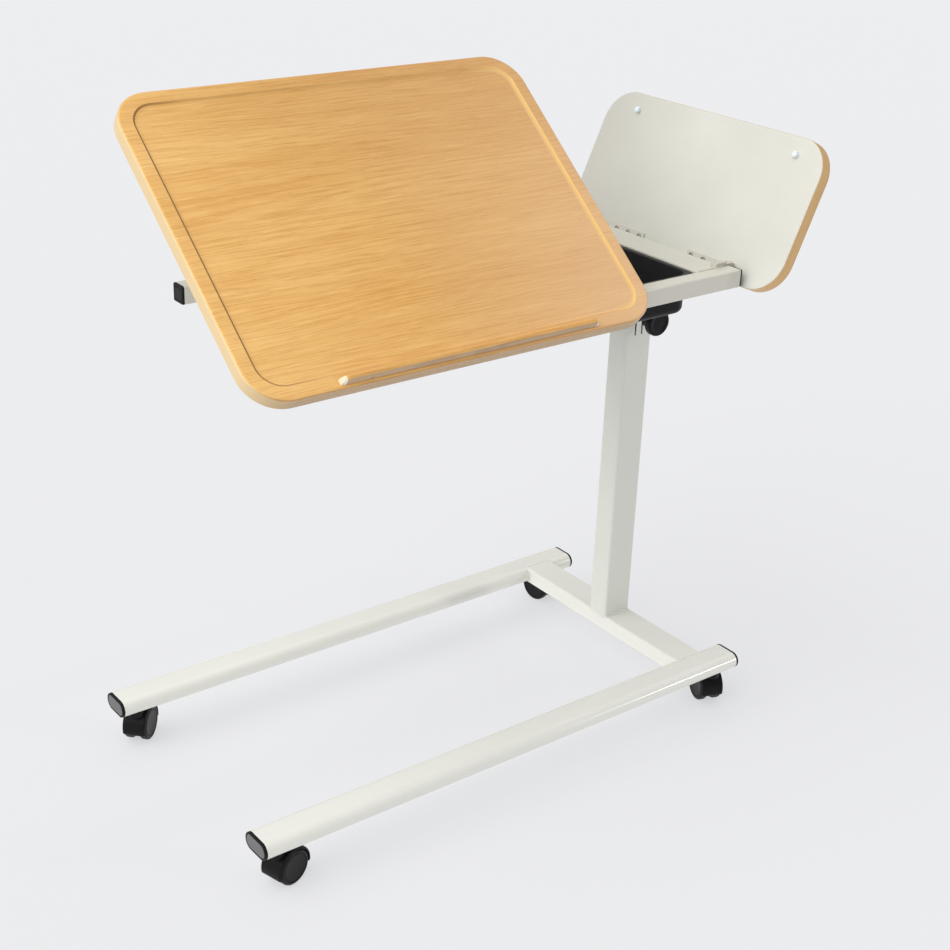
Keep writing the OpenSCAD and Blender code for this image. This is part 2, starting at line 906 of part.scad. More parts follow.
// Knuckles of one hinge leaf about the axis; first is 0 for the fixed leaf and 1 for the moving one
module leaf_knuckles(first, plate_z, bore_r) {
    pitch = leaf_len / knuckles;
    for (k = [first:2:knuckles - 1]) {
        x0 = -leaf_len / 2 + k * pitch + knuckle_gap / 2;
        x1 = x0 + pitch - knuckle_gap;
        difference() {
            union() {
                rod_x(x0, x1, 0, 0, knuckle_r);
                translate([x0, 0, plate_z]) cube([x1 - x0, leaf_start + 1, leaf_t]);
            }
            rod_x(x0 - 1, x1 + 1, 0, 0, bore_r);
        }
    }
}

module top_hinge_bases() {
    color(zinc)
        for (x = hinge_xs)
            translate([x, tilt_y, tilt_z]) {
                leaf_knuckles(0, -top_rise, hinge_pin_r);
                translate([-leaf_len / 2, leaf_start, -top_rise]) cube([leaf_len, base_leaf_w, leaf_t]);
            }
}

module top_hinge_pins() {
    color(zinc)
        for (x = hinge_xs) rod_x(x - leaf_len / 2, x + leaf_len / 2, tilt_y, tilt_z, hinge_pin_r);
}

module top_hinge_leaves() {
    color(zinc)
        on_main()
            difference() {
                for (x = hinge_xs)
                    translate([x, 0, 0]) {
                        leaf_knuckles(1, top_rise - leaf_t, hinge_pin_r + run_gap);
                        translate([-leaf_len / 2, leaf_start, top_rise - leaf_t])
                            cube([leaf_len, leaf_w, leaf_t]);
                    }
                leaf_screw_places()
                    translate([0, 0, -leaf_t - 1]) cylinder(r = screw_r + run_gap, h = leaf_t + 2);
            }
}

// Curved slotted stay under the main board; x is the face of the cross member that it slides on
module tilt_quadrant(x) {
    x1 = x - side_gap;
    v0 = quad_r - quad_flange_len / 2;
    color(zinc)
        on_main()
            difference() {
                union() {
                    run_x(x1 - quad_t, x1, 0, 0)
                        difference() {
                            union() {
                                intersection() {
                                    circle(quad_r + quad_half);
                                    polygon([[0, 0], 2 * quad_r * [1, 0.06],
                                             2 * quad_r * [cos(25), -sin(25)],
                                             2 * quad_r * [cos(quad_end), -sin(quad_end)]]);
                                }
                                translate([v0, -4]) square([quad_flange_len, 4 + top_rise]);
                            }
                            circle(quad_r - quad_half);
                            translate([0, top_rise]) square(2 * quad_r);
                            intersection() {
                                difference() {
                                    circle(quad_r + slot_r);
                                    circle(quad_r - slot_r);
                                }
                                polygon([[0, 0],
                                         2 * quad_r * [cos(bolt_angle), -sin(bolt_angle)],
                                         2 * quad_r * [cos(slot_end), -sin(slot_end)]]);
                            }
                            for (a = [bolt_angle, slot_end])
                                translate(quad_r * [cos(a), -sin(a)]) circle(slot_r);
                        }
                    translate([x1 - quad_flange_w, v0, top_rise - quad_flange_t])
                        cube([quad_flange_w, quad_flange_len, quad_flange_t]);
                }
                quad_screw_places()
                    translate([0, 0, -10]) cylinder(r = screw_r + run_gap, h = 20);
            }
}

module tilt_quadrant_left() { tilt_quadrant(quad_xs[0]); }
module tilt_quadrant_right() { tilt_quadrant(quad_xs[1]); }

module tilt_bolts() {
    y = tilt_y + bolt_run;
    color(zinc)
        for (x = quad_xs) {
            head_x = x - 2 * side_gap - quad_t;
            rod_x(head_x - 5, head_x, y, frame_z, 8);
            rod_x(head_x, x + frame_s + nut_t + 0.4, y, frame_z, bolt_r);
            translate([x + frame_s, y, frame_z])
                rotate([0, 90, 0])
                    difference() {
                        cylinder(r = nut_r, h = nut_t, $fn = 6);
                        translate([0, 0, -1]) cylinder(r = bolt_r, h = nut_t + 2);
                    }
        }
}

module main_screws() {
    color(zinc)
        on_main() {
            leaf_screw_places() translate([0, 0, -leaf_t]) pan_screw(flat_head_t);
            quad_screw_places() translate([0, 0, -quad_flange_t]) pan_screw();
        }
}

module main_bumpers() {
    color(nylon) on_main() main_bumper_places() bumper();
}

leg_near();
leg_far();
base_cross();
column_outer();
column_liner();
clamp_bush();
leg_caps();
castor_sockets();
castor_stems();
castor_hood_near_left();
castor_hood_far_left();
castor_hood_near_right();
castor_hood_far_right();
castor_axle_near_left();
castor_axle_far_left();
castor_axle_near_right();
castor_axle_far_right();
wheel_near_left_a();
wheel_near_left_b();
wheel_far_left_a();
wheel_far_left_b();
wheel_near_right_a();
wheel_near_right_b();
wheel_far_right_a();
wheel_far_right_b();
clamp_knob();
clamp_screw();
clamp_pad();
column_inner();
column_glide();
head_cross();
frame_tube_near();
frame_tube_far();
frame_cross_left();
frame_cross_mid();
frame_caps();
tray();
tray_ledges();
flap_lug_near();
flap_lug_far();
flap_pins();
flap_stops();
top_hinge_bases();
top_hinge_pins();
tilt_bolts();
main_board();
main_backing();
book_lip();
top_hinge_leaves();
tilt_quadrant_left();
tilt_quadrant_right();
main_screws();
main_bumpers();
flap_board();
flap_backing();
flap_bracket_near();
flap_bracket_far();
flap_screws();
flap_bumpers();
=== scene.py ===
"""Looks of the overbed table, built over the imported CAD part. Metres, +Z up."""

import json
from math import atan2, cos, pi, radians, sin, sqrt

import bmesh
import bpy
from mathutils import Matrix, Vector

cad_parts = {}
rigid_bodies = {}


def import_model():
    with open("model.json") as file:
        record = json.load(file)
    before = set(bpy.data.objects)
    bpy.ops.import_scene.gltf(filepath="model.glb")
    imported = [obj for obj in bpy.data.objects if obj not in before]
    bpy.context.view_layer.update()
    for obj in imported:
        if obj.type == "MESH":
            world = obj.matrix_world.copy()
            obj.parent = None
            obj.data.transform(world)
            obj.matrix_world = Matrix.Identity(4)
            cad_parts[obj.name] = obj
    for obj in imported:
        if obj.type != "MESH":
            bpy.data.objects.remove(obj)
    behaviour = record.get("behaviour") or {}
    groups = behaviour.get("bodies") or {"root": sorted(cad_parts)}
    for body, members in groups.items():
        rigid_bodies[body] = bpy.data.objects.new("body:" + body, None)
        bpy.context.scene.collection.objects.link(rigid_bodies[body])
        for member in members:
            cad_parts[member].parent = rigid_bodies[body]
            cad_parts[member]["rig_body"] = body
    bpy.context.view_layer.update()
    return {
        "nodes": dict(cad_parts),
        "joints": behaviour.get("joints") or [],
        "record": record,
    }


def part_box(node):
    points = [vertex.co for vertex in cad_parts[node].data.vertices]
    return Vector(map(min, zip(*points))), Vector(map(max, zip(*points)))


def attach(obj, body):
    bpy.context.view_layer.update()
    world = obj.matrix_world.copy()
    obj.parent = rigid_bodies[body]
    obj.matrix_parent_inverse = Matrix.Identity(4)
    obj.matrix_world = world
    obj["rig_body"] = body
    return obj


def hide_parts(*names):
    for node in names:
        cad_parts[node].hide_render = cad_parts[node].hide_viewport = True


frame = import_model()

MM = 0.001
NODES = frame["nodes"]
RECORD = frame["record"]
JOINTS = {j["name"]: j for j in frame["joints"]}
SLOT_OF = {s["node"]: s["material_slot"] for s in RECORD["subparts"]}
CORNERS = ("near_left", "far_left", "near_right", "far_right")
IDENTITY = Matrix.Identity(4)


# ---------- materials ----------

class Shader:
    """A material whose look is worked out from the object's own coordinates."""

    def __init__(self, name):
        self.material = bpy.data.materials.new(name)
        self.material.use_nodes = True
        self.tree = self.material.node_tree
        self.tree.nodes.clear()
        self.bsdf = self.add("ShaderNodeBsdfPrincipled")
        out = self.add("ShaderNodeOutputMaterial")
        self.tree.links.new(self.bsdf.outputs["BSDF"], out.inputs["Surface"])
        self.place = self.add("ShaderNodeTexCoord").outputs["Object"]

    def add(self, kind, **settings):
        node = self.tree.nodes.new(kind)
        for key, value in settings.items():
            setattr(node, key, value)
        return node

    def put(self, socket, value):
        if isinstance(value, bpy.types.NodeSocket):
            self.tree.links.new(value, socket)
        elif socket.type == "RGBA" and len(value) == 3:
            socket.default_value = (*value, 1.0)
        else:
            socket.default_value = value

    def calc(self, operation, a, b=0.0, clamp=False):
        node = self.add("ShaderNodeMath", operation=operation, use_clamp=clamp)
        for socket, value in zip(node.inputs, (a, b)):
            self.put(socket, value)
        return node.outputs[0]

    def split(self, vector):
        """The X, Y and Z of a vector."""
        node = self.add("ShaderNodeSeparateXYZ")
        self.put(node.inputs[0], vector)
        return node.outputs[:3]

    def join(self, x, y):
        """A vector from its X and Y."""
        node = self.add("ShaderNodeCombineXYZ")
        self.put(node.inputs[0], x)
        self.put(node.inputs[1], y)
        return node.outputs[0]

    def stretch(self, scale, at=(0, 0, 0), source=None):
        node = self.add("ShaderNodeMapping")
        self.put(node.inputs["Vector"], source or self.place)
        self.put(node.inputs["Location"], at)
        self.put(node.inputs["Scale"], scale)
        return node.outputs[0]

    def noise(self, where, scale=1.0, detail=2.0, rough=0.5):
        node = self.add("ShaderNodeTexNoise")
        self.put(node.inputs["Vector"], where)
        self.put(node.inputs["Scale"], scale)
        self.put(node.inputs["Detail"], detail)
        self.put(node.inputs["Roughness"], rough)
        return node.outputs["Fac"]

    def span(self, value, low, high, to_low=0.0, to_high=1.0):
        """Maps low..high to to_low..to_high and stops at both ends."""
        node = self.add("ShaderNodeMapRange", clamp=True)
        for key, v in zip(("Value", "From Min", "From Max", "To Min", "To Max"),
                          (value, low, high, to_low, to_high)):
            self.put(node.inputs[key], v)
        return node.outputs[0]

    def mix(self, share, a, b, mode="MIX"):
        """From colour a at a share of 0 to colour b at 1."""
        node = self.add("ShaderNodeMix", data_type="RGBA", blend_type=mode)
        self.put(node.inputs[0], share)
        self.put(node.inputs[6], a)
        self.put(node.inputs[7], b)
        return node.outputs[2]

    def bump(self, height, distance, strength=1.0, below=None):
        node = self.add("ShaderNodeBump")
        self.put(node.inputs["Height"], height)
        self.put(node.inputs["Distance"], distance)
        self.put(node.inputs["Strength"], strength)
        if below is not None:
            self.put(node.inputs["Normal"], below)
        return node.outputs[0]

    def edges(self, low=0.52, high=0.60):
        """High where a convex edge is worn."""
        node = self.add("ShaderNodeNewGeometry")
        return self.span(node.outputs["Pointiness"], low, high)

    def finish(self, colour, roughness, normal, **others):
        self.put(self.bsdf.inputs["Base Color"], colour)
        self.put(self.bsdf.inputs["Roughness"], roughness)
        self.put(self.bsdf.inputs["Normal"], normal)
        for key, value in others.items():
            self.put(self.bsdf.inputs[key.replace("_", " ")], value)
        return self.material


def paint(name, colour, shade):
    """Powder coat: orange peel, faint cloudiness and a little dulling."""
    s = Shader(name)
    cloud = s.noise(s.place, 5.0, 2.0, 0.5)
    dust = s.noise(s.place, 60.0, 5.0, 0.7)
    peel = s.noise(s.place, 520.0, 2.0, 0.5)
    tone = s.mix(s.span(cloud, 0.35, 0.7), shade, colour)
    tone = s.mix(s.span(dust, 0.66, 0.8, 0.0, 0.06), tone, [c * 0.8 for c in shade])
    rough = s.span(dust, 0.3, 0.7, 0.14, 0.19)
    return s.finish(tone, rough, s.bump(peel, 0.00010, 0.25), Specular_IOR_Level=0.5)


def plastic(name, colour, rough=0.36, grain=1800.0, lift=0.00012, sheen=0.28):
    """Moulded plastic with a fine satin texture and paler handled edges."""
    s = Shader(name)
    fine = s.noise(s.place, grain, 2.0, 0.6)
    smear = s.noise(s.place, 45.0, 5.0, 0.65)
    paler = [min(1.0, c * 1.6 + 0.004) for c in colour]
    tone = s.mix(s.span(smear, 0.4, 0.75, 0.0, 0.35), colour, paler)
    tone = s.mix(s.calc("MULTIPLY", s.edges(), 0.5), tone, paler)
    roughness = s.span(smear, 0.3, 0.7, rough - 0.05, rough + 0.09)
    return s.finish(tone, roughness, s.bump(fine, lift, 0.4), Specular_IOR_Level=sheen)


def zinc(name, bright=1.0):
    """Zinc plate: spangled tone and fine turning marks."""
    s = Shader(name)
    spangle = s.noise(s.place, 240.0, 3.0, 0.6)
    stain = s.noise(s.place, 30.0, 4.0, 0.6)
    plain, stained, shiny = [[c * bright for c in colour] for colour in
                             ((0.66, 0.67, 0.68), (0.50, 0.49, 0.45), (0.80, 0.81, 0.83))]
    tone = s.mix(s.span(stain, 0.4, 0.8), plain, stained)
    tone = s.mix(s.span(spangle, 0.5, 0.75, 0.0, 0.3), tone, shiny)
    scratches = s.noise(s.stretch((900, 900, 60)), 1.0, 2.0, 0.5)
    return s.finish(tone, s.span(spangle, 0.3, 0.7, 0.28, 0.45), s.bump(scratches, 0.00006, 0.4),
                    Metallic=1.0)


def laminate(name, colour, shade, painted_board_shadow=False):
    """Melamine sheet: soft mottling and a slight pebble. One that is shadowed gets a painted shadow of the
    main board, darker towards the far side.
    """
    s = Shader(name)
    mottle = s.noise(s.place, 7.0, 5.0, 0.6)
    marks = s.noise(s.stretch((30, 120, 30)), 1.0, 4.0, 0.7)
    pebble = s.noise(s.place, 900.0, 3.0, 0.6)
    tone = s.mix(s.span(mottle, 0.35, 0.68), shade, colour)
    tone = s.mix(s.span(marks, 0.6, 0.85, 0.0, 0.22), tone, [c * 0.8 for c in shade])
    # Painted shadow of the main board: darker towards the far side.
    if painted_board_shadow:
        y = s.split(s.place)[1]
        painted_shadow_tone = [c * f for c, f in zip(colour, (0.72, 0.70, 0.68))]
        tone = s.mix(s.span(y, 0.0, 0.20, 0.0, 0.8), tone, painted_shadow_tone)
    return s.finish(tone, s.span(mottle, 0.3, 0.7, 0.36, 0.5), s.bump(pebble, 0.0001, 0.4))


def wood(name, light, dark, pale, across=(1.0, 0.0), rough=0.36, contrast=1.0,
         painted_light_and_shade=False, left=None, right=None):
    """Straight oak grain along X; across is how much of Y and of Z lies across the grain.
    left and right are (x where it starts, x where it is full, colour) of painted light and shade towards that
    end of the board."""
    s = Shader(name)
    x, y, z = s.split(s.place)
    v = s.calc("ADD", s.calc("MULTIPLY", y, across[0]), s.calc("MULTIPLY", z, across[1]))
    flat = s.join(x, v)
    wobble = s.noise(s.stretch((2.2, 14, 1), source=flat), 1.0, 2.0, 0.5)
    ripple = s.noise(s.stretch((11, 45, 1), (3, 1, 0), flat), 1.0, 2.0, 0.5)
    shift = s.calc("ADD", s.calc("MULTIPLY", s.calc("SUBTRACT", wobble, 0.5), 0.020),
                   s.calc("MULTIPLY", s.calc("SUBTRACT", ripple, 0.5), 0.0035))
    bent = s.join(x, s.calc("ADD", v, shift))
    fine = s.noise(s.stretch((11, 520, 1), source=bent), 1.0, 1.0, 0.5)
    dash = s.noise(s.stretch((50, 520, 1), (2, 6, 0), bent), 1.0, 2.0, 0.6)
    streak = s.noise(s.stretch((2.2, 75, 1), (7, 2, 0), bent), 1.0, 3.0, 0.6)
    broad = s.noise(s.stretch((1.4, 13, 1), (1, 5, 0), bent), 1.0, 3.0, 0.55)
    fleck = s.noise(s.stretch((26, 62, 1), (4, 9, 0), flat), 1.0, 3.0, 0.6)
    gleam = s.noise(s.stretch((16, 330, 1), (9, 4, 0), bent), 1.0, 2.0, 0.55)
    pore = s.noise(s.stretch((80, 800, 1), source=bent), 1.0, 2.0, 0.5)
    # arched figure down the middle of the sheet
    arch = s.calc("SQRT", s.calc("ADD", s.calc("POWER", s.calc("MULTIPLY", x, 0.055), 2.0),
                                 s.calc("POWER", s.calc("SUBTRACT", s.calc("ADD", v, shift), 0.19), 2.0)))
    rings = s.calc("SINE", s.calc("MULTIPLY", s.calc("ADD", arch, s.calc("MULTIPLY", broad, 0.02)), 760.0))
    rings = s.calc("MULTIPLY", s.span(arch, 0.03, 0.075, 0.30, 0.0), rings)
    dashes = s.calc("MULTIPLY", s.span(fine, 0.44, 0.62), s.span(dash, 0.34, 0.60, 0.35, 1.0))
    lines = s.calc("ADD", dashes, rings)
    tone = s.mix(s.span(broad, 0.30, 0.70, 0.25, 0.95), pale, light)
    for layer, amount, colour in (
        (s.span(streak, 0.52, 0.78), 0.26, dark),
        (s.span(streak, 0.44, 0.28), 0.30, pale),
        (s.span(fleck, 0.56, 0.72), 0.22, pale),
        (lines, 0.42, dark),
        (s.span(gleam, 0.56, 0.70), 0.55, pale),
        (s.span(pore, 0.66, 0.76), 0.45, [c * 0.55 for c in dark]),
    ):
        tone = s.mix(s.calc("MULTIPLY", layer, amount * contrast, clamp=True), tone, colour)
    # Painted light and shade across the main board's face: painted shade further up, painted light towards
    # the left end, and a pale painted sheen towards the bottom right.
    if painted_light_and_shade:
        painted_shade_share = s.calc("MULTIPLY", s.span(v, 0.15, 0.36), s.span(x, -0.42, -0.25, 0.0, 0.8))
        tone = s.mix(painted_shade_share, tone, (0.88, 0.84, 0.80), "MULTIPLY")
        lit = s.calc("MULTIPLY", s.span(x, -0.10, -0.46), 0.9)
        tone = s.mix(lit, tone, (1.20, 1.28, 1.42), "MULTIPLY")
        painted_sheen_share = s.calc("MULTIPLY", s.span(x, -0.20, 0.13), s.span(v, 0.34, -0.02, 0.35, 1.0))
        tone = s.mix(s.calc("MULTIPLY", painted_sheen_share, 0.55), tone, (0.84, 0.58, 0.38))
    # Painted light and shade towards the left and right ends of the board.
    for side in (left, right):
        if side:
            start, full, colour = side
            tone = s.mix(s.span(x, start, full, 0.0, 0.85), tone, colour)
    roughness = s.span(fine, 0.3, 0.7, rough - 0.04, rough + 0.08)
    normal = s.bump(pore, 0.00008, 0.5, s.bump(fine, 0.00010, 0.45))
    return s.finish(tone, roughness, normal, Specular_IOR_Level=0.32)


# One ivory powder coat in four tones: the base's lighter tone is painted light; the column, the top frame and
# the flap bracket are darker copies as painted shade.
IVORY = paint("ivory_powder_coat", (0.87, 0.87, 0.80), (0.85, 0.85, 0.78))
IVORY_COLUMN_PAINTED_SHADE = paint("ivory_column_painted_shade", (0.79, 0.795, 0.72), (0.77, 0.775, 0.70))
IVORY_TOP_PAINTED_SHADE = paint("ivory_top_frame_painted_shade", (0.66, 0.64, 0.56), (0.64, 0.62, 0.54))
IVORY_LUG_PAINTED_SHADE = paint("ivory_bracket_painted_shade", (0.60, 0.575, 0.49), (0.56, 0.535, 0.46))

LIGHT, DARK, PALE = (0.74, 0.385, 0.10), (0.54, 0.215, 0.034), (0.88, 0.54, 0.19)
ON_EDGE = (0.0, 1.0)
OAK = wood("oak_face", LIGHT, DARK, PALE)
# The main face and the ease carry painted light and shade across the board.
OAK_TOP = wood("oak_main_face", LIGHT, DARK, PALE, painted_light_and_shade=True)
# The slope is painted dark at its left end as painted shade and golden at its right end as painted light; the
# ease is painted lighter at its right end as painted light.
OAK_SLOPE = wood("oak_slope", (0.70, 0.38, 0.11), (0.50, 0.24, 0.05), (0.80, 0.48, 0.17), rough=0.24,
                 left=(-0.36, -0.43, (0.30, 0.15, 0.05)), right=(0.06, 0.11, (0.92, 0.58, 0.20)))
OAK_EASE = wood("oak_ease", LIGHT, DARK, PALE, painted_light_and_shade=True, right=(0.06, 0.11, (0.84, 0.54, 0.22)))
# The arris and the edge are painted light at the left end and a pale painted highlight at the right end; the
# edge's darker, greyer tone is painted shade.
OAK_ARRIS = wood("oak_arris", (0.60, 0.32, 0.10), (0.42, 0.18, 0.05), (0.72, 0.42, 0.16),
                 left=(-0.425, -0.458, (0.96, 0.80, 0.46)), right=(0.10, 0.14, (0.92, 0.74, 0.55)))
OAK_EDGE = wood("oak_edge", (0.50, 0.34, 0.19), (0.30, 0.18, 0.09), (0.62, 0.45, 0.27), ON_EDGE,
                left=(-0.40, -0.462, (0.92, 0.70, 0.38)), right=(0.105, 0.145, (0.78, 0.62, 0.46)))
FLAP_EDGE = wood("oak_flap_edge", (0.66, 0.41, 0.17), (0.46, 0.25, 0.09), (0.78, 0.52, 0.25), ON_EDGE,
                 contrast=0.8)
# The lip's darker front is painted shade, and its pale ends are a painted highlight.
LIP_FRONT_PAINTED_SHADE = wood("oak_lip_painted_shade", (0.50, 0.34, 0.20), (0.32, 0.20, 0.11), (0.60, 0.44, 0.28), contrast=0.9)
LIP_END_PAINTED_HIGHLIGHT = plastic("lip_end_painted_highlight", (0.86, 0.76, 0.56), rough=0.25, grain=600.0)

LAMINATE = laminate("white_laminate", (0.75, 0.75, 0.68), (0.71, 0.71, 0.64))
FLAP_SHEET = laminate("flap_laminate", (0.73, 0.73, 0.66), (0.69, 0.69, 0.62), painted_board_shadow=True)

BLACK = plastic("black_plastic", (0.0055, 0.0055, 0.0062), sheen=0.14)
# The tray's inside is a lighter black than its outside, as painted light.
TRAY_INSIDE_PAINTED_LIGHT = plastic("black_tray_inside_painted_light", (0.026, 0.026, 0.027), rough=0.45)
# The leg caps' grey face is a painted reflection on the black plastic.
CAP_FACE_PAINTED_REFLECTION = plastic("cap_face_painted_reflection", (0.155, 0.153, 0.155), rough=0.6, grain=900.0, lift=0.0002)
WHEEL = plastic("black_wheel", (0.008, 0.008, 0.009), rough=0.34, sheen=0.18)
RUBBER = plastic("black_rubber", (0.02, 0.02, 0.02), rough=0.75, grain=700.0, lift=0.0003, sheen=0.2)
NYLON = plastic("white_nylon", (0.70, 0.70, 0.66), rough=0.3)
CLEAR = plastic("clear_pad", (0.76, 0.84, 0.88), rough=0.15, sheen=0.6)

ZINC = zinc("zinc_steel")
SCREW = zinc("screw_steel", 0.45)

OF_SLOT = {
    "ivory_powder_coat": IVORY, "oak_foil": OAK, "white_laminate": LAMINATE, "black_plastic": BLACK,
    "black_wheel": WHEEL, "black_rubber": RUBBER, "zinc_steel": ZINC, "white_nylon": NYLON,
}


# ---------- mesh helpers ----------

def new_loop(bm, points):
    """New vertices at the points, in order."""
    return [bm.verts.new(p) for p in points]


def corner_outline(half_x, half_y, r, steps):
    """Counter-clockwise points of a rectangle with round corners."""
    r = max(r, 1e-6)
    return [(sx * (half_x - r) + r * cos(radians(a0 + 90 * k / steps)),
             sy * (half_y - r) + r * sin(radians(a0 + 90 * k / steps)))
            for sx, sy, a0 in ((1, 1, 0), (-1, 1, 90), (-1, -1, 180), (1, -1, 270))
            for k in range(steps + 1)]


def skin(bm, loops, caps=True):
    """Faces between loops of vertices that have the same count, one list of faces for each pair."""
    bands = []
    for a, b in zip(loops, loops[1:]):
        n = len(a)
        bands.append([bm.faces.new((a[i], a[(i + 1) % n], b[(i + 1) % n], b[i])) for i in range(n)])
    if caps:
        bands.insert(0, [bm.faces.new(loops[0][::-1])])
        bands.append([bm.faces.new(loops[-1])])
    return bands


def piece(name, bm, place, body, materials, stands_for=(), angle=35):
    """Makes a piece of the object from bm, drawn in the frame that place brings to the row frame."""
    bmesh.ops.recalc_face_normals(bm, faces=bm.faces)
    mesh = bpy.data.meshes.new(name)
    bm.to_mesh(mesh)
    bm.free()
    for m in materials:
        mesh.materials.append(m)
    mesh.shade_smooth()
    mesh.set_sharp_from_angle(angle=radians(angle))
    obj = bpy.data.objects.new(name, mesh)
    bpy.context.scene.collection.objects.link(obj)
    obj.matrix_world = place
    flat = obj.modifiers.new("flat faces", "WEIGHTED_NORMAL")
    flat.keep_sharp = True
    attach(obj, body)
    if stands_for:
        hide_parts(*stands_for)


def loft(rings, steps=12, at=(0, 0), paint_bands=()):
    """Skin over rounded-rectangle rings (half x, half y, corner radius, height), capped at both ends."""
    bm = bmesh.new()
    loops = [new_loop(bm, [(x + at[0], y + at[1], z) for x, y in corner_outline(hx, hy, r, steps)])
             for hx, hy, r, z in rings]
    for index, band in enumerate(skin(bm, loops)):
        for face in band:
            face.material_index = paint_bands[index] if index < len(paint_bands) else 0
    return bm


def round_points(radii, height, place=IDENTITY):
    """Points round the Z axis at one height, one for each radius."""
    turn = 2 * pi / len(radii)
    return [place @ Vector((r * cos(turn * k), r * sin(turn * k), height)) for k, r in enumerate(radii)]


def lathe(profile, steps, bm=None, place=IDENTITY):
    """Turned shape from (radius, height) points, closed by a flat face at both ends."""
    bm = bm or bmesh.new()
    skin(bm, [new_loop(bm, round_points([r] * steps, h, place)) for r, h in profile])
    return bm


def arc(cx, cy, r, a0, a1, steps):
    """Points on an arc, angles in degrees."""
    return [(cx + r * cos(radians(a0 + (a1 - a0) * k / steps)),
             cy + r * sin(radians(a0 + (a1 - a0) * k / steps))) for k in range(steps + 1)]


def flat_place(joint):
    """Frame of a board as it lies flat about its joint, brought to the board's place at rest."""
    j = JOINTS[joint]
    flat = max(j["range_deg"], key=abs)
    return Matrix.Translation(j["pos_m"]) @ Matrix.Rotation(radians(-flat), 4, Vector(j["axis"]))


def corners(points):
    """Lowest and highest corner of the box round some points."""
    return [Vector([pick(p[i] for p in points) for i in range(3)]) for pick in (min, max)]


def local_box(node, place):
    """Lowest and highest corner of a CAD node in another frame."""
    inverse = place.inverted()
    return corners([inverse @ v.co for v in NODES[node].data.vertices])


def middle(low, high):
    return (low + high) / 2


# ---------- boards ----------

def slab_rings(low, high, corner, inset_heights):
    """Rings of a board from (inset, height) pairs."""
    hx, hy = (high.x - low.x) / 2, (high.y - low.y) / 2
    return [(hx - i, hy - i, corner - i, z) for i, z in inset_heights]


def eased_side(low, high, chamfer):
    """Side of a board from below: a small chamfer, the upright edge and a rounded upper arris."""
    start = [(chamfer, low.z), (0, low.z + chamfer), (0, high.z - ARRIS)]
    return start + [(ARRIS - y, high.z - ARRIS + x) for y, x in arc(0, 0, ARRIS, 0, 90, ARRIS_STEPS)[1:]]


def backing_sheet(name, node, place, body, finish):
    """Thin sheet under a board, set in a little from the board's edge."""
    low, high = local_box(node, place)
    rise, inset = 0.4 * MM, 0.5 * MM
    profile = [(inset + rise, low.z), (inset, low.z + rise), (inset, high.z)]
    piece(name, loft(slab_rings(low, high, BOARD_CORNER, profile), 20, middle(low, high).xy), place, body,
          [finish], [node])


BOARD_CORNER = 50 * MM
ARRIS, ARRIS_STEPS = 3.2 * MM, 8
TILT = flat_place("tilt")
FLAP = flat_place("flap_hinge")

low, high = local_box("main_board", TILT)
rim, slope, sunk, fall_steps = 18 * MM, 7 * MM, 2.2 * MM, 8
profile = eased_side(low, high, 0.3 * MM) + [(rim, high.z)]
profile += [(rim + slope * t, high.z - sunk * (1 - (1 - t) ** 2.2))
            for t in [k / fall_steps for k in range(1, fall_steps + 1)]]
bands = [1] * 3 + [2] * 4 + [0] * 5 + [3] * 3 + [4] * 5 + [0]
piece("main_board_skin", loft(slab_rings(low, high, BOARD_CORNER, profile), 20, middle(low, high).xy, bands),
      TILT, "main_top", [OAK_TOP, OAK_EDGE, OAK_ARRIS, OAK_SLOPE, OAK_EASE], ["main_board"])
backing_sheet("main_backing_sheet", "main_backing", TILT, "main_top", LAMINATE)

low, high = local_box("flap_board", FLAP)
bands = [1] * 3 + [2] * 4 + [0] * 5
profile = eased_side(low, high, 0.4 * MM)
piece("flap_board_skin", loft(slab_rings(low, high, BOARD_CORNER, profile), 20, middle(low, high).xy, bands),
      FLAP, "flap", [OAK, FLAP_EDGE, OAK_ARRIS], ["flap_board"])
backing_sheet("flap_backing_sheet", "flap_backing", FLAP, "flap", FLAP_SHEET)


# ---------- book lip ----------

def lip_section(width, height, steps=6):
    """Half-round topped section from the foot of one side over to the other."""
    r = min(width / 2 - 0.2 * MM, height * 0.45)
    right = arc(width / 2 - r, height - r, r, 0, 90, steps)
    left = arc(r - width / 2, height - r, r, 90, 180, steps)
    return [(width / 2, 0)] + right + left + [(-width / 2, 0)]


low, high = local_box("book_lip", TILT)
width, height, length = high.y - low.y, high.z - low.z, high.x - low.x
ramp, ramp_steps, lowest, narrowest, highlight_bands = 11 * MM, 10, 0.10, 0.72, 6
stations = [(0.0, lowest)]
stations += [(ramp * t, lowest + (1 - lowest) * sin(pi / 2 * t) ** 0.9)
             for t in [k / ramp_steps for k in range(1, ramp_steps + 1)]]
stations += [(length - x, share) for x, share in stations[::-1]]
bm = bmesh.new()
loops = [new_loop(bm, [(low.x + x, middle(low, high).y + y, low.z + z) for y, z in
                       lip_section(width * (narrowest + (1 - narrowest) * share), height * share)])
         for x, share in stations]
bands = skin(bm, loops)
# Faces near each end take the pale painted highlight; the last five faces of each band take the front's
# painted shade.
for k, band in enumerate(bands):
    at_end = min(k, len(bands) - 1 - k) <= highlight_bands
    for i, face in enumerate(band):
        face.material_index = 2 if at_end else (1 if i >= len(band) - 5 else 0)
piece("book_lip_bar", bm, TILT, "main_top", [OAK, LIP_FRONT_PAINTED_SHADE, LIP_END_PAINTED_HIGHLIGHT], ["book_lip"])


# ---------- tray ----------

